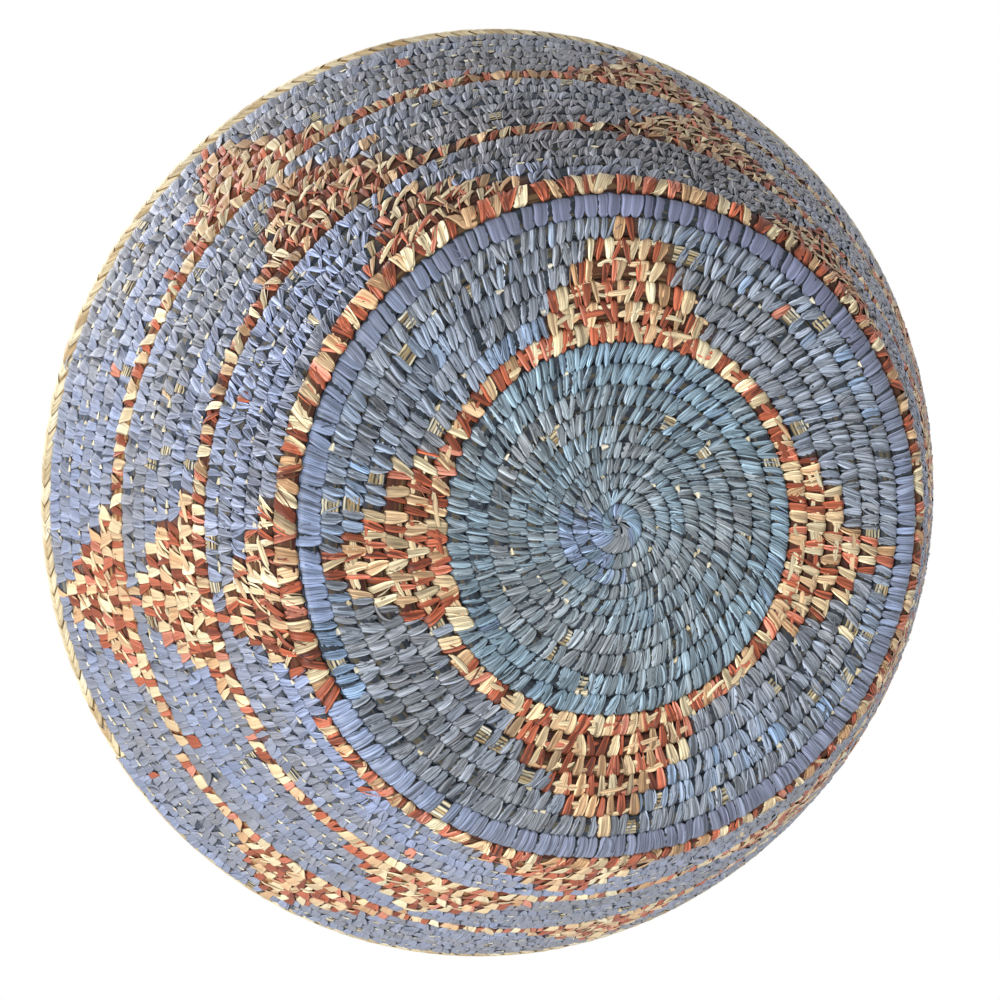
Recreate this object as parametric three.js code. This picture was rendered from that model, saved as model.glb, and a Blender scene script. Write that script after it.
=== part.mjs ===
// A coiled bowl basket. One long bundle of grass winds in a spiral from the middle of the
// base, out to its edge, up the flared wall and round the rim, and each row is sewn to the
// row before it with split leaf strip. The coil is modelled as that one spiral, in the
// lengths that are sewn in a colour of their own, which meet end to end.
// Millimetres, +Z up. The base stands on z = 0 and the bowl opens upward.
import * as THREE from "three";

// Driving dimensions
const startRadius = 3.2; // middle of the base to the centre of the first row
const finePitch = 5.45; // row to row where the coil is started
const basePitch = 7.25; // row to row over the rest of the base
const wallPitch = 6.9; // row to row up the wall
const fineThickness = 5.0; // the coil through the base, where it is started
const coilThickness = 6.2; // the coil through the base and the wall
const rowGap = 0.6; // left open between a row and the next
const seamGap = 0.3; // left open where a length meets the next
const changeAzimuth = 148; // degrees, where each new colour starts
const fineTurns = 4; // turns wound before the coil thickens
const thickenTurns = 3; // turns in which it thickens
const startTaper = 0.5; // size of the coil's first section, against the full one
const startTaperTurns = 0.33;
const cornerLead = 4.6; // the base starts to turn up this far before the wall's first row
const cornerRadius = 10.2; // of the bend from base to wall, at the middle of the coil
const footSlope = 56; // degrees from level, at the foot of the wall
const rimSlope = 61; // degrees from level, at the rim
const flatShare = 0.5; // width of the coil's flat faces, against its whole width
const stripThickness = 0.6; // leaf strip laced over the rim row
const lacingClearance = 0.3; // between the rim row and its lacing
const rimTaper = 0.5; // size of the coil's last section, against the full one
const rimTaperTurns = 0.2;
const stepsPerTurn = 24;

// Rows sewn in each length, from the middle outward
const startRows = 6;
const fieldRows = 4;
const baseRingRows = 1;
const edgeLag = 1 / stepsPerTurn; // the edge row starts this part of a turn late
const starRows = 5;
const edgeRows = 1;
const wallRingRows = 1;
const lowBandRows = 5;
const middleBandRows = 6;
const highBandRows = 6;
const rimRows = 1;

// Colours and how rough each material is
const slate = 0x6d8a9c;
const teal = 0x7593a6;
const rust = 0xb0533a;
const greyBlue = 0x7d90a8;
const periwinkle = 0x8395c6;
const wallBlue = 0x8093b8;
const straw = 0xc6a667;
const natural = 0xead7a6;
const leafRoughness = 0.65;
const grassRoughness = 0.8;

const lengths = [
  { name: "centre_start_coil", rows: startRows, colour: slate },
  { name: "base_field_coil", rows: fieldRows, colour: teal },
  { name: "base_ring_coil", rows: baseRingRows, colour: rust },
  { name: "base_star_coil", rows: starRows + edgeLag, colour: greyBlue },
  { name: "base_edge_coil", rows: edgeRows - edgeLag, colour: periwinkle },
  { name: "wall_ring_coil_1", rows: wallRingRows, colour: rust },
  { name: "wall_band_coil_1", rows: lowBandRows, colour: wallBlue },
  { name: "wall_ring_coil_2", rows: wallRingRows, colour: rust },
  { name: "wall_band_coil_2", rows: middleBandRows, colour: wallBlue },
  { name: "wall_ring_coil_3", rows: wallRingRows, colour: rust },
  { name: "wall_band_coil_3", rows: highBandRows, colour: wallBlue },
];
const wallTurn = startRows + fieldRows + baseRingRows + starRows + edgeRows;
const rimTurn = lengths.reduce((sum, length) => sum + length.rows, 0);
const lastTurn = rimTurn + rimRows;

// A value that runs straight between knots of [turn, value]
const pitchKnots = [
  [0, finePitch],
  [fineTurns, finePitch],
  [fineTurns + thickenTurns, basePitch],
  [wallTurn, basePitch],
  [wallTurn + 1, wallPitch],
  [lastTurn + 1, wallPitch],
];
const thicknessKnots = [
  [0, fineThickness],
  [fineTurns, fineThickness],
  [fineTurns + thickenTurns, coilThickness],
  [lastTurn + 1, coilThickness],
];

function valueAt(knots, turn) {
  let value = knots[0][1];
  for (let k = 1; k < knots.length; k++) {
    const [from, valueFrom] = knots[k - 1];
    const [to, valueTo] = knots[k];
    const share = THREE.MathUtils.clamp((turn - from) / (to - from), 0, 1);
    value += (valueTo - valueFrom) * share;
  }
  return value;
}

// How far a turn's row lies from the middle, measured along the base and up the wall
function stationAt(turn) {
  let station = startRadius;
  for (let k = 1; k < pitchKnots.length; k++) {
    const from = pitchKnots[k - 1][0];
    const reached = THREE.MathUtils.clamp(turn, from, pitchKnots[k][0]);
    const meanPitch = (valueAt(pitchKnots, from) + valueAt(pitchKnots, reached)) / 2;
    station += (reached - from) * meanPitch;
  }
  return station;
}

// The basket's section: flat base, round corner, and a wall that steepens a little to the rim
const toRadians = THREE.MathUtils.degToRad;
const footAngle = toRadians(footSlope);
const rimAngle = toRadians(rimSlope);
const cornerStation = stationAt(wallTurn) - cornerLead;
const footStation = cornerStation + cornerRadius * footAngle;
const wallBend = (rimAngle - footAngle) / (stationAt(lastTurn) - footStation);

function profileAt(station) {
  const flat = Math.min(station, cornerStation);
  const cornerAngle =
    THREE.MathUtils.clamp(station - cornerStation, 0, footStation - cornerStation) / cornerRadius;
  const wallLength = Math.max(station - footStation, 0);
  const slope = cornerAngle + wallLength * wallBend;
  const wallRun = (Math.sin(slope) - Math.sin(cornerAngle)) / wallBend;
  const wallRise = (Math.cos(cornerAngle) - Math.cos(slope)) / wallBend;
  return {
    radius: flat + cornerRadius * Math.sin(cornerAngle) + wallRun,
    height: cornerRadius * (1 - Math.cos(cornerAngle)) + wallRise,
    slope,
  };
}

// The coil's size against its full one: small where it is started and where it runs out
function taperAt(turn) {
  const started = THREE.MathUtils.smoothstep(turn, 0, startTaperTurns);
  const ending = THREE.MathUtils.smoothstep(turn, lastTurn - rimTaperTurns, lastTurn);
  return THREE.MathUtils.lerp(startTaper, 1, started) - (1 - rimTaper) * ending;
}

// The six corners of the coil's section, as [radius, height], drawn in by `inset`. Two flat
// faces lie along the base or wall, so that the base stands on flat rows.
function sectionAt(turn, inset = 0) {
  const taper = taperAt(turn);
  const fullHalfWidth = (valueAt(pitchKnots, turn) - rowGap) / 2;
  const halfWidth = fullHalfWidth * taper - inset;
  const fullHalfThickness = valueAt(thicknessKnots, turn) / 2;
  const halfThickness = fullHalfThickness * taper - inset;
  // A thinned rim row settles on the row below it
  const settled = turn > rimTurn ? fullHalfWidth * (1 - taper) : 0;
  const { radius, height, slope } = profileAt(stationAt(turn) - settled);
  // A thinned first row lies on the ground with the others
  const lift = turn < wallTurn ? fullHalfThickness * taper : fullHalfThickness;
  const flat = halfWidth * flatShare;
  const corners = [
    [halfWidth, 0],
    [flat, halfThickness],
    [-flat, halfThickness],
    [-halfWidth, 0],
    [-flat, -halfThickness],
    [flat, -halfThickness],
  ];
  return corners.map(([along, inward]) => [
    radius + along * Math.cos(slope) - inward * Math.sin(slope),
    Math.max(0, height + lift + along * Math.sin(slope) + inward * Math.cos(slope)),
  ]);
}

// Straight steps with their corners a little outside the true spiral keep its mean radius
const outset = 2 / (1 + Math.cos(Math.PI / stepsPerTurn));

function ringAt(turn, inset) {
  const azimuth = toRadians(changeAzimuth) + 2 * Math.PI * turn;
  return sectionAt(turn, inset).map(([radius, height]) => {
    const reach = radius * outset;
    return new THREE.Vector3(reach * Math.cos(azimuth), reach * Math.sin(azimuth), height);
  });
}

// Rings from one seam to the next. A seam lies in the middle of a straight step, square to
// it, and half the seam's gap is left there on each side.
function ringsBetween(firstTurn, secondTurn, inset = 0) {
  const step = 1 / stepsPerTurn;
  const rings = [];
  for (let turn = firstTurn - step / 2; turn < secondTurn + step; turn += step) {
    rings.push(ringAt(Math.max(turn, 0), inset));
  }
  const last = rings.length - 1;
  rings[0] = seamRing(rings[0], rings[1]);
  rings[last] = seamRing(rings[last], rings[last - 1]);
  return rings;
}

// The section half the seam's gap past the middle of the step from one ring to the next
function seamRing(outer, inner) {
  const stepLength = outer[0].distanceTo(inner[0]);
  const share = 0.5 + seamGap / 2 / stepLength;
  return outer.map((corner, k) => corner.clone().lerp(inner[k], share));
}

// A closed tube through rings of corners. With inner rings it is a sleeve, open at both ends.
function tubeGeometry(rings, innerRings = []) {
  const corners = [];
  const faces = [];
  const sides = rings[0].length;
  const last = rings.length - 1;
  const innerStart = rings.length * sides;
  const quad = (a, b, c, d) => faces.push(a, b, c, a, c, d);
  rings.flat().forEach((corner) => corners.push(...corner.toArray()));
  innerRings.flat().forEach((corner) => corners.push(...corner.toArray()));
  for (let side = 0; side < sides; side++) {
    const next = (side + 1) % sides;
    for (let ring = 0; ring < last; ring++) {
      const here = ring * sides;
      const ahead = here + sides;
      quad(here + side, ahead + side, ahead + next, here + next);
      if (innerRings.length) {
        const innerHere = innerStart + here;
        const innerAhead = innerStart + ahead;
        quad(innerHere + next, innerAhead + next, innerAhead + side, innerHere + side);
      }
    }
    if (innerRings.length) {
      const end = last * sides;
      quad(side, next, innerStart + next, innerStart + side);
      quad(end + next, end + side, innerStart + end + side, innerStart + end + next);
    }
  }
  for (let side = 1; !innerRings.length && side < sides - 1; side++) {
    faces.push(0, side, side + 1);
    faces.push(last * sides, last * sides + side + 1, last * sides + side);
  }
  const geometry = new THREE.BufferGeometry();
  geometry.setAttribute("position", new THREE.Float32BufferAttribute(corners, 3));
  geometry.setIndex(faces);
  geometry.computeVertexNormals();
  return geometry;
}

function piece(name, geometry, colour, roughness) {
  const material = new THREE.MeshStandardMaterial({
    color: colour,
    roughness,
    metalness: 0,
    flatShading: true,
  });
  const mesh = new THREE.Mesh(geometry, material);
  mesh.name = name;
  return mesh;
}

// The least distance between a row and the next, measured from corner to edge at each step
function leastRowGap() {
  let least = Infinity;
  for (let turn = 0; turn <= lastTurn - 1; turn += 1 / stepsPerTurn) {
    const row = sectionAt(turn);
    const nextRow = sectionAt(turn + 1);
    least = Math.min(least, cornerGap(row, nextRow), cornerGap(nextRow, row));
  }
  return least;
}

function cornerGap(cornersOf, edgesOf) {
  const edge = new THREE.Line3();
  const nearest = new THREE.Vector3();
  let least = Infinity;
  for (const [radius, height] of cornersOf) {
    const corner = new THREE.Vector3(radius, height, 0);
    edgesOf.forEach(([fromRadius, fromHeight], k) => {
      const [toRadius, toHeight] = edgesOf[(k + 1) % edgesOf.length];
      edge.start.set(fromRadius, fromHeight, 0);
      edge.end.set(toRadius, toHeight, 0);
      edge.closestPointToPoint(corner, true, nearest);
      least = Math.min(least, nearest.distanceTo(corner));
    });
  }
  return least;
}

const basket = new THREE.Group();
basket.name = "coiled_basket";
const coil = new THREE.Group();
basket.add(coil);

// The coil's coloured lengths
let turnReached = 0;
for (const { name, rows, colour } of lengths) {
  const rings = ringsBetween(turnReached, turnReached + rows);
  coil.add(piece(name, tubeGeometry(rings), colour, leafRoughness));
  turnReached += rows;
}

// The rim row, and the natural strip laced over it as a sleeve
const rimRings = ringsBetween(rimTurn, lastTurn, stripThickness + lacingClearance);
coil.add(piece("rim_coil", tubeGeometry(rimRings), straw, grassRoughness));
const lacingOutside = ringsBetween(rimTurn, lastTurn);
const lacingInside = ringsBetween(rimTurn, lastTurn, stripThickness);
coil.add(piece("rim_lacing", tubeGeometry(lacingOutside, lacingInside), natural, leafRoughness));

// The last turn reaches further out on one side, so the basket is centred by its outline
const middle = new THREE.Box3().setFromObject(coil).getCenter(new THREE.Vector3());
coil.position.set(-middle.x, -middle.y, 0);

console.log(`least gap between rows ${leastRowGap().toFixed(2)} mm`);

export default basket;
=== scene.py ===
import bpy
import math
import numpy as np
from mathutils import Matrix, Vector


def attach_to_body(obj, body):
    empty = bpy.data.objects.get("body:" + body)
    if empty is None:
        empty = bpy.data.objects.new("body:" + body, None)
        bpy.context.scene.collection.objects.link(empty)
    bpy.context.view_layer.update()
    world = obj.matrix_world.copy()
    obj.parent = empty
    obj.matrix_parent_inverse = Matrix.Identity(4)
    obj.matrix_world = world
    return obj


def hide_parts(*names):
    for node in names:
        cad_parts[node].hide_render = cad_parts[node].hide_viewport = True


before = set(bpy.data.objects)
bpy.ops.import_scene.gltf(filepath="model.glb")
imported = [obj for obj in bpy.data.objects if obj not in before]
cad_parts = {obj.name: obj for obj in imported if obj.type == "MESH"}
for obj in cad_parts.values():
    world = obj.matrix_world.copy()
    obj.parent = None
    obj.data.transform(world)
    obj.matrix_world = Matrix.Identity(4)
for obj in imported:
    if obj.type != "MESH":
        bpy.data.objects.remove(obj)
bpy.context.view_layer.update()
rng = np.random.default_rng(38)
mm = 0.001

# The coil's spiral in millimetres and degrees, the same as the solids have. Turns are counted
# from the middle of the base: the wall starts at turn 17, the rim row at 37, and 38 ends it.
spiral = {
    "startRadius": 3.2,
    "pitches": [(0, 5.45), (4, 5.45), (7, 7.25), (17, 7.25), (18, 6.9), (41, 6.9)],
    "thicknesses": [(0, 5.0), (4, 5.0), (7, 6.2), (41, 6.2)],
    "startAzimuth": 148,
    "cornerLead": 4.6,
    "cornerRadius": 10.2,
    "footSlope": 56,
    "rimSlope": 61,
    "wallTurn": 17,
    "rimTurn": 37,
    "lastTurn": 38,
    "rimTaper": 0.5,
    "rimTaperTurns": 0.2,
    "centre": (-0.84, -0.61),
}
# The turns at which the sewing changes
zones = {"field": 4.5, "ring": 10, "star": 11, "edge": 16.04, "corner": 17, "wall": 18}

turnTable = np.linspace(-2, 41, 43001)
pitchTable = np.interp(turnTable, *zip(*spiral["pitches"]))
travelled = np.cumsum((pitchTable[1:] + pitchTable[:-1]) / 2 * np.diff(turnTable))
stationTable = np.concatenate([[0], travelled])
stationTable += spiral["startRadius"] - np.interp(0, turnTable, stationTable)


def pitchAt(turn):
    return np.interp(turn, turnTable, pitchTable)


def halfThicknessAt(turn):
    return np.interp(turn, *zip(*spiral["thicknesses"])) / 2


def stationAt(turn):
    return np.interp(turn, turnTable, stationTable)


footAngle = math.radians(spiral["footSlope"])
cornerStation = float(stationAt(spiral["wallTurn"])) - spiral["cornerLead"]
footStation = cornerStation + spiral["cornerRadius"] * footAngle
wallLength = float(stationAt(spiral["lastTurn"])) - footStation
wallBend = (math.radians(spiral["rimSlope"]) - footAngle) / wallLength


def profileAt(station):
    # flat base, round corner, and a wall that steepens a little to the rim
    corner = spiral["cornerRadius"]
    angle = np.clip(station - cornerStation, 0, footStation - cornerStation) / corner
    slope = angle + np.maximum(station - footStation, 0) * wallBend
    radius = np.minimum(station, cornerStation) + corner * np.sin(angle)
    radius = radius + (np.sin(slope) - np.sin(angle)) / wallBend
    height = corner * (1 - np.cos(angle)) + (np.cos(angle) - np.cos(slope)) / wallBend
    return radius, height, slope


def ringAt(turn):
    # millimetres once round the basket
    return 2 * np.pi * profileAt(stationAt(turn))[0]


def azimuthAt(turn):
    return spiral["startAzimuth"] + 360 * turn


def towards(turn, azimuth):
    # 1 at this azimuth, 0 a quarter of the way round from it and -1 opposite. The photograph
    # has azimuth 270 at its top, 0 at its right, 90 at its bottom and 180 at its left.
    return np.cos(np.radians(azimuthAt(turn) - azimuth))


def facing(turn, azimuth):
    # the same on this azimuth's half of the basket, and 0 on the other
    return np.maximum(towards(turn, azimuth), 0)


def place(turn, along, inward, sideways):
    # a point `along` from its row's middle, `inward` from the coil's middle and `sideways`
    # along the coil, in millimetres, to metres in the part's frame
    radius, height, slope = profileAt(stationAt(turn) + along)
    reach = radius - inward * np.sin(slope)
    level = height + halfThicknessAt(turn) + inward * np.cos(slope)
    azimuth = np.radians(azimuthAt(turn))
    x = spiral["centre"][0] + reach * np.cos(azimuth) - sideways * np.sin(azimuth)
    y = spiral["centre"][1] + reach * np.sin(azimuth) + sideways * np.cos(azimuth)
    return np.stack(np.broadcast_arrays(x, y, level), axis=-1) * mm


# Where the rust and natural rows start and end, in degrees round the basket, by row
fullRows = [10, 17, 23, 30]
starRows = {
    11: [(341, 391), (68, 118), (153, 200), (248, 295)],
    12: [(350, 385), (71, 112), (157, 195), (250, 290)],
    13: [(0, 17), (78, 106), (162, 183), (258, 283)],
    14: [(3, 10), (84, 100), (165, 180), (262, 280)],
    15: [(5, 8), (90, 94), (170, 175), (268, 272)],
}
wallTriangles = [
    {"row": 18, "centres": [313, 239, 169.5, 96, 25], "drift": -0.9,
     "widths": [30, 22, 13.5, 8.5, 1.9]},
    {"row": 24, "centres": [350, 290, 229, 169, 110, 50], "drift": 0,
     "widths": [29.6, 21.9, 18.2, 13, 6, 1.6]},
    {"row": 31, "centres": [336, 284, 226, 169, 123, 79, 27], "drift": 0,
     "widths": [23.7, 18, 13.2, 8.6, 5.6, 1.5]},
]
patternSpans = [(row, 0, 360) for row in fullRows]
for row, spans in starRows.items():
    patternSpans += [(row, start, end) for start, end in spans]
for triangles in wallTriangles:
    for centre in triangles["centres"]:
        for step, width in enumerate(triangles["widths"]):
            middle = centre + triangles["drift"] * step
            patternSpans.append((triangles["row"] + step, middle - width / 2, middle + width / 2))


def inPattern(turn):
    turn = np.asarray(turn, float)
    row = np.floor(turn)
    azimuth = azimuthAt(turn) % 360
    found = np.zeros(turn.shape, bool)
    for spanRow, start, end in patternSpans:
        found |= (row == spanRow) & ((azimuth - start) % 360 < end - start)
    return found


# The kinds of stitch, and what each is like, in this order. Sizes without a unit are shares.
kindNames = ["fine", "field", "star", "ring", "triangle", "edge", "corner",
             "wall", "wallRing", "wallPattern"]
stitchSizes = {
    "spacing": [2.3, 2.7, 3.2, 3.4, 3.9, 3.7, 4, 3.2, 3.6, 4],  # mm along the row
    # mm of spacing for every mm of radius beyond 40, on the wall 130
    "grows": [0, 0.008, 0, 0, 0, 0, 0, 0.006, 0, 0.006],
    "width": [1.14, 1.14, 1.2, 1.1, 0.88, 1.12, 1.26, 1.2, 1.14, 0.98],  # against the spacing
    # how far it reaches into the row before
    "tip": [0.12, 0.17, 0.18, 0.14, 0.24, 0.16, 0.06, 0.28, 0.12, 0.2],
    # its slant against the pitch
    "lean": [0.34, 0.4, 0.29, 0.2, 0.12, 0.1, 0.16, 0.27, 0.2, 0.22],
    # how the lean changes round the basket
    "swing": [0.12, 0.16, 0.02, 0, 0, 0.14, 0, 0.26, 0.15, 0.2],
    "most": [0, 0, 180, 0, 0, 170, 0, 290, 290, 290],  # the azimuth where it leans most
    # how the lean changes from stitch to stitch
    "sway": [0.13, 0.13, 0.13, 0.2, 0.18, 0.03, 0.36, 0.18, 0.34, 0.26],
    "tipShare": [0.46, 0.38, 0.34, 0.55, 0.45, 0.52, 0.72, 0.36, 0.6, 0.5],  # width at its tip
    "shoulder": [0.4, 0.42, 0.44, 0.45, 0.6, 0.4, 0.6, 0.6, 0.7, 0.7],  # where it is full width
    "pointed": [0, 0.2, 0.3, 0.2, 0.5, 0, 0.5, 0.6, 0.7, 0.7],  # 0 for a round tip, 1 for a wedge
    "endShare": [0.8, 0.76, 0.8, 1, 1, 1.02, 1.05, 1.1, 1.05, 1.1],  # width at its end
    "crown": [0.56, 0.8, 0.74, 0.4, 0.4, 0.36, 0.26, 0.55, 0.3, 0.4],  # mm that its edges fall
    # mm, the depth of the folds along it
    "fold": [0.13, 0.19, 0.2, 0.2, 0.22, 0.03, 0.24, 0.2, 0.2, 0.2],
    # one edge higher than the other
    "tilt": [-0.14, -0.22, -0.2, -0.1, -0.1, -0.12, -0.1, -0.16, -0.1, -0.12],
    "lift": [0.24, 0.24, 0.24, 0.4, 0.42, 0.3, 0.44, 0.26, 0.4, 0.4],  # mm over the bundle
    "gaps": [0.008, 0.012, 0.045, 0, 0, 0.004, 0, 0.014, 0, 0],  # how many are left out
    "slivers": [0.6, 0.6, 0.8, 0.4, 0.5, 0.15, 1.6, 0.9, 0.9, 0.45],  # how many have split
}
finishes = ["dyed", "rust", "natural"]
# the strips and the bundle between them are also painted darker towards this azimuth, as shade
# away from the key lamp
top = 275  # the azimuth of the photograph's top, where the wall's strips lie roughest
skin = 0.3  # the bundle lies this far inside the solid, and the strips fill the rest


def kindAt(turn, patterned):
    if turn < zones["field"]:
        return "fine"
    if turn < zones["corner"] and patterned:
        return "ring" if turn < zones["star"] else "triangle"
    for kind, end in (("field", "ring"), ("star", "edge"), ("edge", "corner"),
                      ("corner", "wall")):
        if turn < zones[end]:
            return kind
    if int(turn) in fullRows:
        return "wallRing"
    return "wallPattern" if patterned else "wall"


def raggedAt(turn):
    # 0 where the strips lie smooth and close, 1 where they are split and the gaps are deep
    high = 0.5 + 0.55 * towards(turn, top) + (24 - turn) / 14
    return np.where(turn < zones["wall"], 0.85, np.clip(high, 0, 1))


# How blue the base's edge row is dyed, by degrees round the basket
edgeHues = [(0, 0.9), (50, 0.6), (95, 0.62), (165, 1.0), (230, 0.7), (275, 0.3), (320, 0.5),
            (345, 0.76), (360, 0.9)]


# Stitches in a row come from one batch of leaf, as (fewest, most), and now and then a few are
# very blue. In the pattern natural and rust stitches take turns, and some come in twos.
dyeing = {"batch": (6, 26), "spread": 0.11, "veryBlue": 0.05, "veryBlueBatch": (1, 5),
          "strayShare": 0.009, "doubled": 0.24, "doubledRustInRing": 0.75}
ringSpacing = {"rust": 2.7, "natural": 4.3}
patternSpacing = {"rust": 0.88, "natural": 1.14}


def layStitches():
    # walks up the spiral, one stitch after the other
    turn = 1.0
    rows = []
    batchLeft, batchHue = 0, 0.5
    finish, runLeft = "rust", 0
    while turn < spiral["rimTurn"]:
        patterned = bool(inPattern(turn))
        kind = kindAt(turn, patterned)
        facts = {key: values[kindNames.index(kind)] for key, values in stitchSizes.items()}
        onBase = turn < spiral["wallTurn"]
        azimuth = azimuthAt(turn) % 360
        atTop = facing(turn, top)
        grown = profileAt(stationAt(turn))[0] - (40 if onBase else 130)
        spacing = facts["spacing"] + facts["grows"] * grown
        uneven = 0.17
        if kind == "edge":
            spacing += 1.1 * atTop ** 3 - 0.5 * towards(turn, 0)
            spacing -= 0.5 * facing(turn, 325) ** 2
            uneven = 0.08 + 0.1 * facing(turn, 325)
        if kind in ("wall", "wallPattern"):
            spacing *= 1.06 - 0.16 * float(raggedAt(turn))
        if batchLeft <= 0:
            batchLeft = int(rng.integers(*dyeing["batch"]))
            batchHue = float(np.clip(0.5 + dyeing["spread"] * rng.normal(), 0, 1))
            if rng.random() < dyeing["veryBlue"]:
                batchHue = 0.93 if onBase else 0.7
                batchLeft = int(rng.integers(*dyeing["veryBlueBatch"]))
        batchLeft -= 1
        hue = batchHue + 0.13 * math.sin(math.radians(3 * azimuth + 40 * turn))
        if turn > zones["wall"]:  # bluer at the left, greyer at the top
            hue += (0.22 if turn < 24 else 0.02) * facing(turn, 190) - 0.32 * atTop ** 2
            hue += 0.14 * facing(turn, 222) ** 6
        if turn < zones["ring"]:  # the base's last rows before its ring are bluer
            hue += 0.3 * min(max((turn - 7.4) / 1.8, 0), 1) - 0.16
        # a patch of very blue strips beside the middle
        if turn < 3.4 and 80 < azimuth < 215 and rng.random() < 0.75:
            hue = 1.0
        if int(turn) == 16:  # the edge row
            hue = float(np.interp(azimuth, *zip(*edgeHues))) + 0.03 * rng.normal()
        if patterned:
            if runLeft <= 0:
                finish = "natural" if finish == "rust" else "rust"
                rustInRing = kind in ("ring", "corner") and finish == "rust"
                doubled = dyeing["doubledRustInRing" if rustInRing else "doubled"]
                runLeft = 2 if rng.random() < doubled else 1
            runLeft -= 1
            sewn = finish
            if kind in ("ring", "corner", "wallRing"):
                spacing = ringSpacing[sewn]
            else:
                spacing *= patternSpacing[sewn]
        else:
            sewn = "dyed"
            if turn > zones["ring"] and rng.random() < dyeing["strayShare"]:
                sewn = "natural" if rng.random() < 0.5 else "rust"
        step = spacing * float(np.clip(1 + uneven * rng.normal(), 0.6, 1.5))
        missing = rng.random() < facts["gaps"]
        rows.append((turn, kindNames.index(kind), finishes.index(sewn), hue, step, missing))
        turn += step / float(ringAt(turn))
    return np.array(rows, float).T


laid = dict(zip(("turn", "kind", "finish", "hue", "step", "missing"), layStitches()))
stitches = len(laid["turn"])
print(f"laid {stitches} stitches on {spiral['rimTurn']} rows")


def isKind(*names):
    return np.isin(laid["kind"], [kindNames.index(name) for name in names])


def kindValues(key):
    return np.array(stitchSizes[key])[laid["kind"].astype(int)]


def jitter(spread):
    return rng.normal(0, spread, stitches)


def seatTips(tipSide, endSide):
    # each tip goes between two strips of the row before on the base, and splits one on the
    # wall: a tip less than 2.6 mm from such a seat is drawn most of the way to it
    turn = laid["turn"]
    arc = ringAt(turn - 1)
    wanted = (turn - 1) + tipSide / arc
    seat = turn + endSide / ringAt(turn)
    gap = np.concatenate([[seat[0]], (seat[1:] + seat[:-1]) / 2])
    before = np.clip(np.searchsorted(turn, turn - 1), 1, stitches - 1)
    target = np.where(turn < 17.5, gap[before], seat[before])
    for other in (before - 2, before - 1, before + 1, before + 2):
        other = np.clip(other, 0, stitches - 1)
        spot = np.where(turn < 17.5, gap[other], seat[other])
        target = np.where(np.abs(spot - wanted) < np.abs(target - wanted), spot, target)
    pull = (target - wanted) * arc
    close = (np.abs(pull) < 2.6) & (turn > 2)  # the first turn has no row to go into
    return tipSide + np.where(close, 0.6 * pull, 0)


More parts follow.
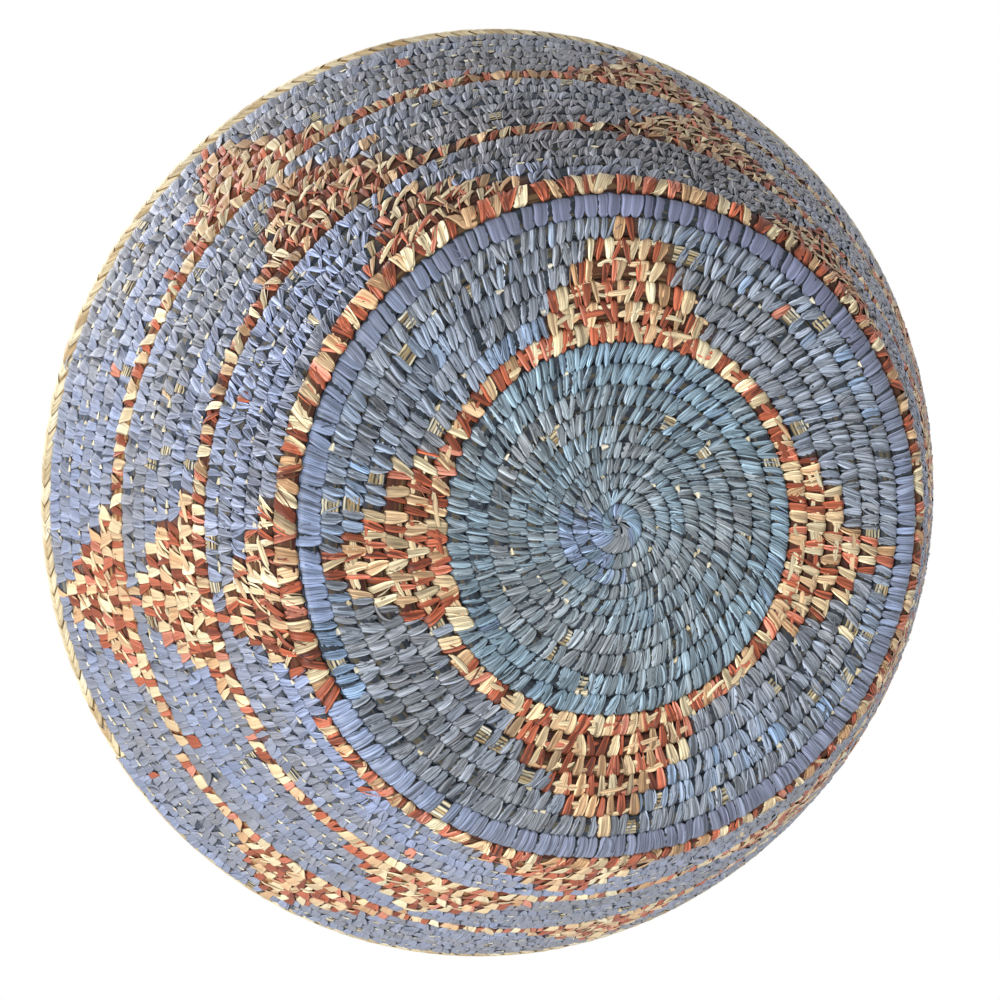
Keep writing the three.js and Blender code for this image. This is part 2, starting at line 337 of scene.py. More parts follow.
def shapesFor(leanScale):
    # sizes of every stitch on one side of the basket
    turn = laid["turn"]
    pitch, ragged = pitchAt(turn), raggedAt(turn)
    onWall, edge = turn > zones["wall"], isKind("edge")
    sewn = laid["finish"] > 0
    high, right = facing(turn, top), facing(turn, 350)
    # the wall is calmer at the photograph's right and at its bottom
    calm, low = onWall * facing(turn, 15), onWall * facing(turn, top - 180)
    width = kindValues("width") * laid["step"] * (1 + jitter(0.1))
    width = width * np.where(onWall, 1.08 - 0.2 * ragged, 1)
    width = width * np.where(isKind("wallPattern"), 1 - 0.12 * ragged, 1)
    swing = kindValues("swing") * towards(turn, kindValues("most"))
    lean = (kindValues("lean") + swing) * leanScale
    sway = kindValues("sway") * jitter(1) * np.where(onWall, 0.8 + 0.7 * ragged, 1)
    lean = (lean + sway) * pitch
    tip = kindValues("tip") * (1 + jitter(0.2))
    tipSide = seatTips(-0.55 * lean, 0.45 * lean) + jitter(0.25)
    tipShare = kindValues("tipShare") * (1 + jitter(0.2))
    tipShare = tipShare * np.where(onWall, 1.1 - 0.35 * ragged, 1)
    tipShare = np.where(edge, 0.52 - 0.12 * high, tipShare)
    # lightness: how much it varies at random, how much the patterned strips are darkened, on the
    # wall with painted shade towards the azimuth top, away from the key lamp, and painted light
    # and shade on some regions
    spread = np.where(onWall, 0.1 + 0.1 * ragged, 0.17 - 0.05 * right)
    spread = np.where(edge, 0.06 + 0.07 * facing(turn, 325), spread)
    dimmedAndPaintedShade = np.where(onWall, 0.36 * high + 0.06 * facing(turn, 235) ** 4,
                      (turn > zones["star"]) * (0.12 - 0.04 * towards(turn, top)))
    dimmedAndPaintedShade = dimmedAndPaintedShade * np.where(laid["finish"] == finishes.index("rust"), 0.6, 1)
    light = 1 + jitter(1) * spread * (1 - 0.4 * calm) - sewn * dimmedAndPaintedShade
    onDyedBase = ~sewn & (turn < zones["edge"])
    # painted light and shade by region, the edge row painted lighter on the key lamp's side
    for region, more in (
            (edge, 0.06 * facing(turn, 170)),
            (turn < zones["ring"], 0.03 + 0.04 * high),
            (onDyedBase, 0.05 * towards(turn, 310)),
            (onDyedBase & (turn > zones["star"]), 0.04),
            (turn < zones["field"], -0.06),
            (~sewn & onWall & (turn < 24), 0.05)):
        light = light + region * more
    split = np.where(onWall, 0.45 + 0.65 * ragged, 1.15) * (1 - 0.5 * low) * (1 - 0.45 * calm)
    hue = np.where(sewn, rng.uniform(0, 1, stitches),
                   laid["hue"] + jitter(1) * np.where(edge, 0.03, 0.09))
    return {
        "turn": turn,
        "tipAt": -(0.5 + tip) * pitch,
        "endAt": 0.53 * pitch,
        "tipSide": tipSide,
        "endSide": 0.45 * lean + jitter(0.25),
        "bend": jitter(0.2),
        "halfWidth": width / 2,
        "tipShare": np.clip(tipShare, 0.15, 0.9),
        "shoulder": kindValues("shoulder") * (1 + jitter(0.15)),
        "pointed": np.clip(kindValues("pointed") + jitter(0.3) * ~edge, 0, 1),
        "cut": np.where(onWall, 0.35 + jitter(0.6), jitter(0.2)),
        "endShare": kindValues("endShare") * (1 + jitter(0.08)),
        "crown": kindValues("crown") * (1 + jitter(0.15)) * (0.75 + 0.3 * ragged),
        "fold": kindValues("fold") * (1 + jitter(0.2)) * np.where(onWall, 0.4 + 0.8 * ragged, 1)
        * (1 - 0.4 * calm) * (1 - 0.3 * low) * np.where(sewn, 0.75, 1),
        "lift": kindValues("lift") + jitter(0.09),
        "sag": np.abs(0.4 + jitter(0.12)),
        "overlap": 0.34 + jitter(0.1),
        "dip": 0.9 + jitter(0.1),
        "tilt": kindValues("tilt") + jitter(0.17) * (1 - 0.5 * calm) * (1 - 0.3 * low),
        "light": np.clip(light, 0.5, 1.5),
        "hue": np.clip(hue, 0, 1),
        "split": np.where(edge, 1.05 - 0.7 * high, split) * np.where(sewn, 0.72, 1),
        "outline": np.where(edge, 0.5 - 0.34 * np.maximum(high, right), 0.16 + 0.3 * (1 - split)),
        "paintedEdgeHighlight": np.where(edge, 0.16 + 0.34 * high, 0.34 * split),
        "paintedShadeWarmth": np.where(sewn, 0.5, 0.0),
    }


def crestAt(along, pitch, half):
    # height of the bundle's surface over the coil's middle
    return (half - skin) * np.sqrt(np.clip(1 - (np.abs(along) / (0.53 * pitch)) ** 3, 0.02, 1))


def mapOf(across, along):
    # the map in millimetres that the fibres are drawn on, for every strip a stretch of its own
    number = np.arange(len(across))[:, None, None]
    return np.stack(np.broadcast_arrays(across + 17.3 * number, along), axis=-1)


def toneOf(light, hue, fibres):
    # what the leaf reads: its lightness, painted light and shade included, its place between the
    # dyes and how its fibres show
    return np.stack(np.broadcast_arrays(light, hue, fibres, 1.0), axis=-1)


# A strip's painted light and shade across it and along it: painted shade along the edges with a
# painted highlight beside them, every facet a random lightness of its own, painted shade at the
# tip where it dips into the row before and where it goes under the next row, and a painted
# highlight near the tip where it bends over
stripLook = {"across": [(0, -0.3), (0.5, -0.1), (0.8, 1), (1, 0)], "facets": 0.25,
             "along": [(0, 0.36), (0.1, 1.12), (0.2, 1.06), (0.8, 0.96), (1, 0.5)]}


def stripSheets(shapes, side, alongSteps, acrossSteps):
    # points of every strip, as [strip, along, across], with what its material reads
    s = {key: value[:, None, None] for key, value in shapes.items()}
    count, columns = len(shapes["turn"]), len(acrossSteps)
    u = np.asarray(alongSteps)[None, :, None]
    inner = np.ones(columns)
    inner[[0, -1]] = 0
    v = np.asarray(acrossSteps) + 0.05 * inner * rng.normal(0, 1, (count, 1, columns))
    pitch, half = pitchAt(s["turn"]), halfThicknessAt(s["turn"])
    along = s["tipAt"] + (s["endAt"] - s["tipAt"]) * u + s["cut"] * v * np.clip(1 - 2 * u, 0, 1)
    # the tip dips into the row before, and the strip is taut from there to this row's crest
    over = -0.12 * pitch
    rise = s["tipRise"] if "tipRise" in s else crestAt(s["tipAt"] + pitch, pitch, half)
    rise = rise + s["overlap"]
    taut = (along - s["tipAt"]) / (over - s["tipAt"])
    bridge = rise + (crestAt(over, pitch, half) - rise) * taut
    bridge = bridge - s["sag"] * np.sin(np.pi * np.clip(taut, 0, 1) ** 0.8) ** 2
    height = np.where(along < over, bridge, crestAt(along, pitch, half)) + s["lift"]
    height = height - s["dip"] * np.clip(1 - u / 0.13, 0, 1) ** 1.4
    # the strip widens from its tip to its shoulder, changes again at its end, and has a round tip
    widening = np.clip(u / s["shoulder"], 0, 1)
    widening = widening * (s["pointed"] + (1 - s["pointed"]) * (2 - widening))
    halfWidth = s["halfWidth"] * (s["tipShare"] + (1 - s["tipShare"]) * widening)
    halfWidth = halfWidth * (1 + (s["endShare"] - 1) * np.clip((u - 0.6) / 0.4, 0, 1))
    halfWidth = halfWidth * (0.45 + 0.55 * np.sqrt(np.clip(u / 0.09, 0, 1)))
    # its edges fall, folds run along it, and it lies tilted against the next
    falling = s["crown"] * np.abs(v) ** 2.2 * np.clip(halfWidth / s["halfWidth"], 0.4, 1)
    folds = s["fold"] * inner * rng.normal(0, 1, (2, count, 1, columns))
    folded = folds[0] + (folds[1] - folds[0]) * u
    height = height - falling + folded + s["tilt"] * v * halfWidth
    sideways = s["tipSide"] + (s["endSide"] - s["tipSide"]) * u + s["bend"] * 4 * u * (1 - u)
    points = place(s["turn"], along, side * height, sideways + v * halfWidth)
    # painted light across the strip: a pale highlight line beside each edge, and the edge columns
    # painted dark as shade
    pale = np.interp(np.abs(np.asarray(acrossSteps)), *zip(*stripLook["across"]))
    shades = stripLook["facets"] * inner * rng.normal(0, 1, (count, 1, columns))
    facets = 1 + s["paintedEdgeHighlight"] * pale + s["split"] * shades
    facets = np.where(inner > 0, np.maximum(facets, 0.3), s["outline"])
    # painted shade at the tip and at the end under the next row, and a painted highlight near the
    # tip
    light = s["light"] * facets * np.interp(u, *zip(*stripLook["along"]))
    # painted shade is tinted: sewn strips turn more tan where their lightness, painted shade
    # included, is lower
    hue = np.clip(s["hue"] + s["paintedShadeWarmth"] * (light - 1), 0, 1)
    strip = mapOf(v * halfWidth, (s["endAt"] - s["tipAt"]) * u)
    return points, strip, toneOf(light, hue, s["split"])


def sheetPiece(name, sheets, side, material):
    # one mesh from grids of the same size
    points, strip, tone = sheets
    count, rows, columns = points.shape[:3]
    corner = np.arange(count * rows * columns).reshape(count, rows, columns)
    a, b = corner[:, :-1, :-1], corner[:, 1:, :-1]
    c, d = corner[:, 1:, 1:], corner[:, :-1, 1:]
    faces = np.stack([a, d, c, b] if side > 0 else [a, b, c, d], axis=-1).reshape(-1, 4)
    # every strip has its own cell of the map that its colours are baked through
    cellsAcross = max(1, math.ceil(math.sqrt(count * 3)))
    cellsDown = math.ceil(count / cellsAcross)
    number = np.arange(count)[:, None, None]
    across = np.linspace(0.1, 0.9, columns)[None, None, :]
    upward = np.linspace(0.06, 0.94, rows)[None, :, None]
    cell = np.stack(np.broadcast_arrays((number % cellsAcross + across) / cellsAcross,
                                        (number // cellsAcross + upward) / cellsDown), axis=-1)
    return makePiece(name, points.reshape(-1, 3), faces, strip.reshape(-1, 2),
                     cell.reshape(-1, 2), tone.reshape(-1, 4), material,
                     columns if columns > 5 else None)


def makePiece(name, points, faces, strip, cell, tone, material, foldStep=None):
    # the maps have a value for every point, or else for every corner of every face
    mesh = bpy.data.meshes.new(name)
    mesh.vertices.add(len(points))
    mesh.vertices.foreach_set("co", points.astype(np.float32).ravel())
    mesh.loops.add(faces.size)
    mesh.loops.foreach_set("vertex_index", faces.astype(np.int32).ravel())
    mesh.polygons.add(len(faces))
    mesh.polygons.foreach_set("loop_start", np.arange(0, faces.size, 4, dtype=np.int32))
    mesh.polygons.foreach_set("use_smooth", np.ones(len(faces), bool))
    for mapName, values in (("strip", strip), ("OFBake", cell)):
        if len(values) == len(points):
            values = values[faces.ravel()]
        layer = mesh.uv_layers.new(name=mapName)
        layer.data.foreach_set("uv", values.astype(np.float32).ravel())
    attribute = mesh.attributes.new("tone", "FLOAT_COLOR", "POINT")
    attribute.data.foreach_set("color", tone.astype(np.float32).ravel())
    mesh.update(calc_edges=True)
    if foldStep:
        # the folds along a strip are crisp
        ends = np.empty(len(mesh.edges) * 2, np.int32)
        mesh.edges.foreach_get("vertices", ends)
        gap = np.abs(ends[0::2] - ends[1::2])
        crisp = mesh.attributes.new("sharp_edge", "BOOLEAN", "EDGE")
        crisp.data.foreach_set("value", gap == foldStep)
    mesh.materials.append(material)
    piece = bpy.data.objects.new(name, mesh)
    bpy.context.scene.collection.objects.link(piece)
    return piece


def attach(piece, node):
    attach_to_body(piece, "root")
    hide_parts(node)


def addSheets(node, label, sheets, side, leaf):
    sideName = "inside" if side > 0 else "outside"
    attach(sheetPiece(f"{node}_{label}_{sideName}", sheets, side, leaf), node)


# Materials
def linear(hexColour):
    values = [int(hexColour[k:k + 2], 16) / 255 for k in (1, 3, 5)]
    return [v / 12.92 if v <= 0.04045 else ((v + 0.055) / 1.055) ** 2.4 for v in values] + [1]


def addNode(tree, kind, settings, links):
    node = tree.nodes.new(kind)
    for key, value in settings.items():
        if isinstance(key, str) and hasattr(node, key):
            setattr(node, key, value)
        else:
            node.inputs[key].default_value = value
    for key, source in links.items():
        tree.links.new(source, node.inputs[key])
    return node


def newMaterial(name):
    material = bpy.data.materials.new(name)
    material.use_nodes = True
    material.node_tree.nodes.clear()
    return material, material.node_tree


def dyedLeaf(name, dyes, roughness=0.5, grain=0.42):
    # Split leaf strip, dried flat and sewn damp: straight fibres along the strip, a dull waxy
    # face, and dye that took differently from strip to strip. The eye gets fine lines along
    # each stitch and no two stitches quite alike. Fibres are 0.2 mm apart, drawn twice as far.
    material, tree = newMaterial(name)
    tone = addNode(tree, "ShaderNodeAttribute", {"attribute_name": "tone"}, {})
    parts = addNode(tree, "ShaderNodeSeparateColor", {}, {0: tone.outputs["Color"]})
    ramp = addNode(tree, "ShaderNodeValToRGB", {}, {0: parts.outputs[1]})
    stops = ramp.color_ramp.elements
    while len(stops) < len(dyes):
        stops.new(0.5)
    for stop, (at, dye) in zip(stops, dyes):
        stop.position = at
        stop.color = linear(dye)
    strip = addNode(tree, "ShaderNodeUVMap", {"uv_map": "strip"}, {})
    stretched = addNode(tree, "ShaderNodeMapping", {"Scale": (1 / grain, 1 / 11, 1)},
                        {0: strip.outputs[0]})
    fibres = addNode(tree, "ShaderNodeTexNoise", {"noise_dimensions": "2D", "Scale": 1.0,
                     "Detail": 3.0, "Roughness": 0.6}, {"Vector": stretched.outputs[0]})
    lines = addNode(tree, "ShaderNodeMapRange", {1: 0.3, 2: 0.7, 3: -0.6, 4: 0.6},
                    {0: fibres.outputs[0]})
    lines = addNode(tree, "ShaderNodeMath", {"operation": "MULTIPLY_ADD", 2: 1.0},
                    {0: lines.outputs[0], 1: parts.outputs[2]})
    # the lightness that scales the dye carries painted shade and painted highlight as well as each
    # strip's own tone
    shade = addNode(tree, "ShaderNodeMath", {"operation": "MULTIPLY"},
                    {0: lines.outputs[0], 1: parts.outputs[0]})
    dyed = addNode(tree, "ShaderNodeVectorMath", {"operation": "SCALE"},
                   {0: ramp.outputs[0], "Scale": shade.outputs[0]})
    bump = addNode(tree, "ShaderNodeBump", {"Strength": 0.6, "Distance": 0.00016},
                   {"Height": fibres.outputs[0]})
    shader = addNode(tree, "ShaderNodeBsdfPrincipled", {"Roughness": roughness, "IOR": 1.45},
                     {"Base Color": dyed.outputs[0], "Normal": bump.outputs[0]})
    addNode(tree, "ShaderNodeOutputMaterial", {}, {0: shader.outputs[0]})
    return material


def grassStalks(name):
    # Dry grass stalks bundled side by side: matt straw with lengthwise ribs, each stalk
    # bleached differently. Where the strips pack tight the bundle takes some of their blue and is
    # painted dark as their shade.
    material, tree = newMaterial(name)
    tone = addNode(tree, "ShaderNodeAttribute", {"attribute_name": "tone"}, {})
    strip = addNode(tree, "ShaderNodeUVMap", {"uv_map": "strip"}, {})
    stretched = addNode(tree, "ShaderNodeMapping", {"Scale": (1 / 0.35, 1 / 14, 1)},
                        {0: strip.outputs[0]})
    ribs = addNode(tree, "ShaderNodeTexNoise", {"noise_dimensions": "2D", "Scale": 1.0,
                   "Detail": 3.0, "Roughness": 0.65}, {"Vector": stretched.outputs[0]})
    lines = addNode(tree, "ShaderNodeMapRange", {1: 0.3, 2: 0.7, 3: 0.68, 4: 1.2},
                    {0: ribs.outputs[0]})
    straw = addNode(tree, "ShaderNodeVectorMath", {"operation": "SCALE"},
                    {0: tone.outputs["Color"], "Scale": lines.outputs[0]})
    bump = addNode(tree, "ShaderNodeBump", {"Strength": 0.6, "Distance": 0.00015},
                   {"Height": ribs.outputs[0]})
    shader = addNode(tree, "ShaderNodeBsdfPrincipled", {"Roughness": 0.72, "IOR": 1.45},
                     {"Base Color": straw.outputs[0], "Normal": bump.outputs[0]})
    addNode(tree, "ShaderNodeOutputMaterial", {}, {0: shader.outputs[0]})
    return material


slateLeaf = dyedLeaf("slateDyedSplitLeaf", [
    (0.0, "#93989d"), (0.3, "#8f9ba3"), (0.55, "#889ca9"), (0.8, "#8aa4b4"), (0.93, "#8aa4be"),
    (1.0, "#8c9dbb")])
greyBlueLeaf = dyedLeaf("greyBlueDyedSplitLeaf", [
    (0.0, "#8f8f93"), (0.35, "#90969f"), (0.65, "#8f9aab"), (0.93, "#87a0bf")])
periwinkleLeaf = dyedLeaf("periwinkleDyedSplitLeaf", [
    (0.0, "#777c98"), (0.4, "#7a7f9b"), (0.7, "#828a9f"), (1.0, "#8d9dbf")], roughness=0.42,
    grain=0.45)
wallBlueLeaf = dyedLeaf("wallBlueDyedSplitLeaf", [
    (0.0, "#8d8c92"), (0.35, "#90939e"), (0.65, "#929ab1"), (1.0, "#95a1c2")])
rustLeaf = dyedLeaf("rustDyedSplitLeaf", [
    (0.0, "#863f26"), (0.4, "#b05c3e"), (0.75, "#c86e50"), (1.0, "#d58e78")])
naturalLeaf = dyedLeaf("undyedSplitLeaf", [
    (0.0, "#d8aa7c"), (0.3, "#e6c298"), (0.6, "#edd4a8"), (1.0, "#f0e4c0")])
lacedLeaf = dyedLeaf("undyedLacingLeaf", [
    (0.0, "#caa978"), (0.5, "#e2cfa6"), (1.0, "#f0e4c6")])
dryGrass = grassStalks("dryGrassStalks")
paleStalk = dyedLeaf("bleachedGrassStalk", [
    (0.0, "#b09468"), (0.3, "#d4bf94"), (0.7, "#ebdfbc"), (1.0, "#f6f0dc")], roughness=0.6)
print("materials made")

# The coil's lengths from the middle to the rim row, each with its bundle and its strips: the
# node, the turns it starts and ends at, the leaf that it is sewn in and its slot
coilLengths = [
    ("centre_start_coil", 0, 6, slateLeaf, "slate_leaf"),
    ("base_field_coil", 6, 10, slateLeaf, "slate_leaf"),
    ("base_ring_coil", 10, 11, greyBlueLeaf, "slate_leaf"),
    ("base_star_coil", 11, 16.04, greyBlueLeaf, "slate_leaf"),
    ("base_edge_coil", 16.04, 17, periwinkleLeaf, "periwinkle_leaf"),
]
for number, rows in enumerate([(17, 18, 23), (23, 24, 30), (30, 31, 37)], 1):
    for name, start, end in (("ring", *rows[:2]), ("band", *rows[1:])):
        coilLengths.append((f"wall_{name}_coil_{number}", start, end, wallBlueLeaf,
                            "wall_blue_leaf"))
lengths = [{"node": node, "start": start, "end": end, "leaf": leaf, "slot": slot,
            "here": (laid["turn"] >= start) & (laid["turn"] < end)}
           for node, start, end, leaf, slot in coilLengths]

outsideAlong = [0, 0.05, 0.12, 0.22, 0.36, 0.52, 0.68, 0.84, 1]
insideAlong = [0, 0.06, 0.16, 0.34, 0.55, 0.78, 1]
outsideAcross = [-1, -0.8, -0.42, 0.0, 0.42, 0.8, 1]
insideAcross = [-1, -0.8, -0.2, 0.3, 0.8, 1]
strandAcross = [-1, 0, 1]


def pick(shapes, chosen):
    return {key: value[chosen] for key, value in shapes.items()}


def sewPieces(length, shapes, finish, side, along, across, label=""):
    # one piece for every finish that this length is sewn in
    for number, leaf, slot in ((0, length["leaf"], length["slot"]), (1, rustLeaf, "rust_leaf"),
                               (2, naturalLeaf, "natural_leaf")):
        chosen = finish == number
        if chosen.any():
            sheets = stripSheets(pick(shapes, chosen), side, along, across)
            addSheets(length["node"], slot + label, sheets, side, leaf)


outsideShapes = shapesFor(1.0)
insideShapes = shapesFor(0.25)
for length in lengths:
    sewn = length["here"] & (laid["missing"] == 0)
    sewPieces(length, pick(outsideShapes, sewn), laid["finish"][sewn], -1, outsideAlong,
              outsideAcross)
    sewPieces(length, pick(insideShapes, sewn), laid["finish"][sewn], 1, insideAlong,
              insideAcross)
print("sewed the stitches")


# Slivers that split off the strips and lie over the stitches, in millimetres or as shares
sliver = {"shift": 1.1, "spread": 0.9, "tipReach": (0.6, 1.0), "endReach": (0.0, 1.0),
          "bend": 0.5, "halfWidth": (0.18, 0.42), "lift": (0.1, 0.35), "paleShare": 0.6,
          "pale": (1.1, 1.45), "dark": (0.45, 0.8),
          "same": {"cut": 0, "outline": 0.8, "tipShare": 0.3, "crown": 0.12, "fold": 0}}


def setAll(shapes, same, count):
    shapes.update({key: np.full(count, float(value)) for key, value in same.items()})


def slivers(length, shapes, side):
    chance = kindValues("slivers")
    chance = chance * np.where(laid["turn"] > zones["wall"], 0.5 + raggedAt(laid["turn"]), 1)
    picked = np.flatnonzero(length["here"] & (rng.random(stitches) < chance))
    picked = np.concatenate([picked, picked[rng.random(len(picked)) < chance[picked] - 1]])
    some = pick(shapes, picked)
    count = len(picked)
    shift = rng.normal(0, sliver["shift"], count)
    some["tipSide"] += shift + rng.normal(0, sliver["spread"], count)
    some["endSide"] += shift + rng.normal(0, sliver["spread"], count)
    some["tipAt"] *= rng.uniform(*sliver["tipReach"], count)
    some["endAt"] *= rng.uniform(*sliver["endReach"], count)
    some["bend"] = rng.normal(0, sliver["bend"], count)
    some["halfWidth"] = rng.uniform(*sliver["halfWidth"], count)
    some["lift"] += rng.uniform(*sliver["lift"], count)
    some["light"] = np.where(rng.random(count) < sliver["paleShare"],
                             rng.uniform(*sliver["pale"], count),
                             rng.uniform(*sliver["dark"], count))
    setAll(some, sliver["same"], count)
    sewPieces(length, some, laid["finish"][picked], side, insideAlong, strandAcross, "_slivers")


for length in lengths:
    slivers(length, outsideShapes, -1)
print("split the slivers")


def rowRibbons(turn, along, height, halfWidth, light, hue, side, across=strandAcross):
    # ribbons that run along a row; the arrays are [ribbon, step]
    v = np.asarray(across)[None, None, :]
    turn, along, height, wide, light, hue = (
        value[:, :, None] for value in (turn, along, height, halfWidth, light, hue))
    level = side * (height - 0.25 * wide * np.abs(v) ** 2)
    points = place(turn, along + v * wide, level, 0)
    strip = mapOf(v * wide, (turn - turn[:, :1]) * ringAt(turn))
    # painted light across the ribbon: a painted highlight beside each edge and painted shade at
    # the edge
    edge = np.interp(np.abs(v), [0, 0.7, 1], [1, 1.08, 0.45])
    return points, strip, toneOf(light * edge + 0 * turn, hue, 0.8)


# What shows between the stitches, in millimetres, degrees or as shares: the bundle's stalks
# where a stitch is left out, straw that peeps out between the tips, and strips that have come
# loose and lie across
bare = {"lanes": [-2.3, -1.15, 0.0, 1.1, 2.2], "run": 0.75, "halfWidth": (0.4, 0.575),
        "light": (0.65, 1.25), "hue": (0, 1)}
straw = {"reach": (1.4, 3.0), "aside": (-1.5, 0.7), "lift": (0.6, 1.0),
         "halfWidth": (0.7, 1.4), "light": (0.9, 1.3), "hue": (0.5, 1)}
loose = {"stitchesForOne": 60, "fromTurn": 3, "reach": (4, 11), "heading": (-20, 80),
         "bow": 1.0, "lift": 0.42, "halfWidth": (0.25, 0.6), "paleShare": 0.7,
         "light": (1.1, 1.5), "hue": (0, 0.7)}


def bareStalks(length, side):
    here = length["here"] & (laid["missing"] == 1)
    if not here.any():
        return
    lanes = bare["lanes"]
    turn, step = (np.repeat(laid[key][here], len(lanes))[:, None] for key in ("turn", "step"))
    count = (len(turn), 1)
    lane = np.tile(lanes, here.sum())[:, None] + rng.normal(0, 0.15, count)
    turns = turn + np.linspace(-bare["run"], bare["run"], 4) * (step / ringAt(turn))
    along = lane + rng.normal(0, 0.1, turns.shape)
    height = crestAt(along, pitchAt(turns), halfThicknessAt(turns)) + 0.02
    halfWidth, light, hue = (rng.uniform(*bare[key], count)
                             for key in ("halfWidth", "light", "hue"))
    sheets = rowRibbons(turns, along, height, halfWidth, light, hue, side)
    addSheets(length["node"], "bare_stalks", sheets, side, paleStalk)


def straws(length, side):
    turn = laid["turn"]
    chance = np.where(turn > zones["wall"], 0.48 - 0.38 * raggedAt(turn), 0.05)
    here = length["here"] & (turn > 2) & (laid["finish"] == 0)
    picked = np.flatnonzero(here & (rng.random(stitches) < chance))
    if not len(picked):
        return
    count = (len(picked), 1)
    turn, step = laid["turn"][picked, None], laid["step"][picked, None]
    run = np.linspace(-0.5, 0.5, 4)[None, :]
    reach = rng.uniform(*straw["reach"], count)
    middle = turn + step * rng.uniform(-0.5, 0.5, count) / ringAt(turn)
    turns = middle + run * (reach / ringAt(turn))
    pitch = pitchAt(turns)
    along = -0.5 * pitch + rng.uniform(*straw["aside"], count)
    along = along + rng.normal(0, 0.08, turns.shape)
    below = np.where(along < -0.5 * pitch, along + pitch, along)
    height = crestAt(below, pitch, halfThicknessAt(turns)) + rng.uniform(*straw["lift"], count)
    halfWidth = rng.uniform(*straw["halfWidth"], count) * (1 - 0.65 * (run + 0.5) ** 1.5)
    light, hue = (rng.uniform(*straw[key], count) for key in ("light", "hue"))
    sheets = rowRibbons(turns, along, height, halfWidth, light, hue, side)
    addSheets(length["node"], "straws", sheets, side, paleStalk)


def looseStrands(length, side):
    far = laid["turn"] >= loose["fromTurn"]
    here = np.flatnonzero(length["here"] & far & (laid["finish"] == 0))
    count = (len(here) // loose["stitchesForOne"], 1)
    if not count[0]:
        return
    turn = laid["turn"][rng.choice(here, count[0]), None]
    run = np.linspace(-0.5, 0.5, 8)[None, :]
    reach = rng.uniform(*loose["reach"], count)
    heading = np.radians(rng.uniform(*loose["heading"], count))
    bow = rng.normal(0, loose["bow"], count) * (1 - 4 * run ** 2)
    along = run * reach * np.cos(heading) + bow
    turns = turn + (run * reach * np.sin(heading) - bow) / ringAt(turn)
    height = halfThicknessAt(turns) + loose["lift"] - 0.5 * (2 * np.abs(run)) ** 4
    halfWidth = rng.uniform(*loose["halfWidth"], count) * (1 - 0.6 * (2 * np.abs(run)) ** 3)
    pale = rng.random(count) < loose["paleShare"]
    light = np.where(pale, rng.uniform(*loose["light"], count), 0.6)
    hue = rng.uniform(*loose["hue"], count)
    sheets = rowRibbons(turns, along, height, halfWidth, light, hue, side)
    addSheets(length["node"], "loose", sheets, side, length["leaf"])


for length in lengths:
    bareStalks(length, -1)
    straws(length, -1)
    looseStrands(length, -1)


# In the pattern the strip that isn't being sewn is carried along the row and shows
carrying = {"perStitch": 0.9, "slope": (0.0, 0.25), "wallSlope": (0.4, 0.8), "reach": (5, 12),
            "width": (0.7, 1.3), "lift": (0.1, 0.34), "over": 0.12, "wallOver": 0.4,
            "light": (0.75, 1.15), "hue": (0.1, 0.9), "pale": 0.76,
            "across": [-1, -0.7, 0, 0.7, 1]}


def carriedStrips(length, side):
    here = length["here"] & (laid["finish"] > 0) & isKind("wallPattern", "triangle", "ring")
    turn = np.repeat(laid["turn"][here], 2)
    reach = rng.uniform(*carrying["reach"], len(turn))
    ends = reach / 2 / ringAt(turn)
    inside = inPattern(turn - ends) & inPattern(turn + ends)
    inside &= rng.random(len(turn)) < carrying["perStitch"] / 2
    if not inside.any():
        return
    turn, reach = turn[inside, None], reach[inside, None]
    onWall = length["start"] >= spiral["wallTurn"]
    count = (len(turn), 1)
    run = np.linspace(-0.5, 0.5, 9)[None, :]
    turns = turn + run * (reach / ringAt(turn))
    slope = rng.uniform(*carrying["wallSlope" if onWall else "slope"], count)
    middle = rng.uniform(-2, 2, count)
    bow = rng.normal(0, 0.5, count) * (1 - 4 * run ** 2)
    along = np.clip(middle + run * (reach * slope) + bow, -3.3, 3.3)
    along = along + rng.normal(0, 0.05, along.shape)
    over = rng.random(count) < carrying["wallOver" if onWall else "over"]
    height = crestAt(along, pitchAt(turns), halfThicknessAt(turns))
    height = height + rng.uniform(*carrying["lift"], count) + 0.45 * over
    height = height - 0.35 * (np.abs(run) * 2) ** 6
    halfWidth = rng.uniform(*carrying["width"], count) * (1 - 0.65 * (np.abs(run) * 2) ** 4)
    # painted shade: the carried strips on the wall are darker towards the azimuth top, away from
    # the key lamp
    light = rng.uniform(*carrying["light"], count) * (1 - 0.24 * onWall * facing(turns, top))
    values = (turns, along, height, halfWidth, light, rng.uniform(*carrying["hue"], count))
    pale = rng.random(len(turn)) < carrying["pale"]
    for chosen, leaf, slot in ((pale, naturalLeaf, "natural_leaf"),
                               (~pale, rustLeaf, "rust_leaf")):
        if chosen.any():
            sheets = rowRibbons(*(value[chosen] for value in values), side, carrying["across"])
            addSheets(length["node"], f"{slot}_carried", sheets, side, leaf)


for length in lengths:
    carriedStrips(length, -1)
    carriedStrips(length, 1)
print("laid the bare stalks and the carried strips")


def smooth(x):
    x = np.clip(x, 0, 1)
    return x * x * (3 - 2 * x)


def taperAt(turn):
    # the coil is thinner where it is started and where it runs out
    begun = smooth(turn / 0.33)
    ending = smooth((turn - spiral["lastTurn"]) / spiral["rimTaperTurns"] + 1)
    return 0.5 + 0.5 * begun - (1 - spiral["rimTaper"]) * ending


def settledAt(turn):
    # a thinned rim row lies down on the row below it
    return np.where(turn > spiral["rimTurn"], (1 - taperAt(turn)) * pitchAt(turn) / 2, 0)


def bulged(value, power):
    # gives a round made with sines and cosines fuller corners
    return np.sign(value) * np.abs(value) ** power


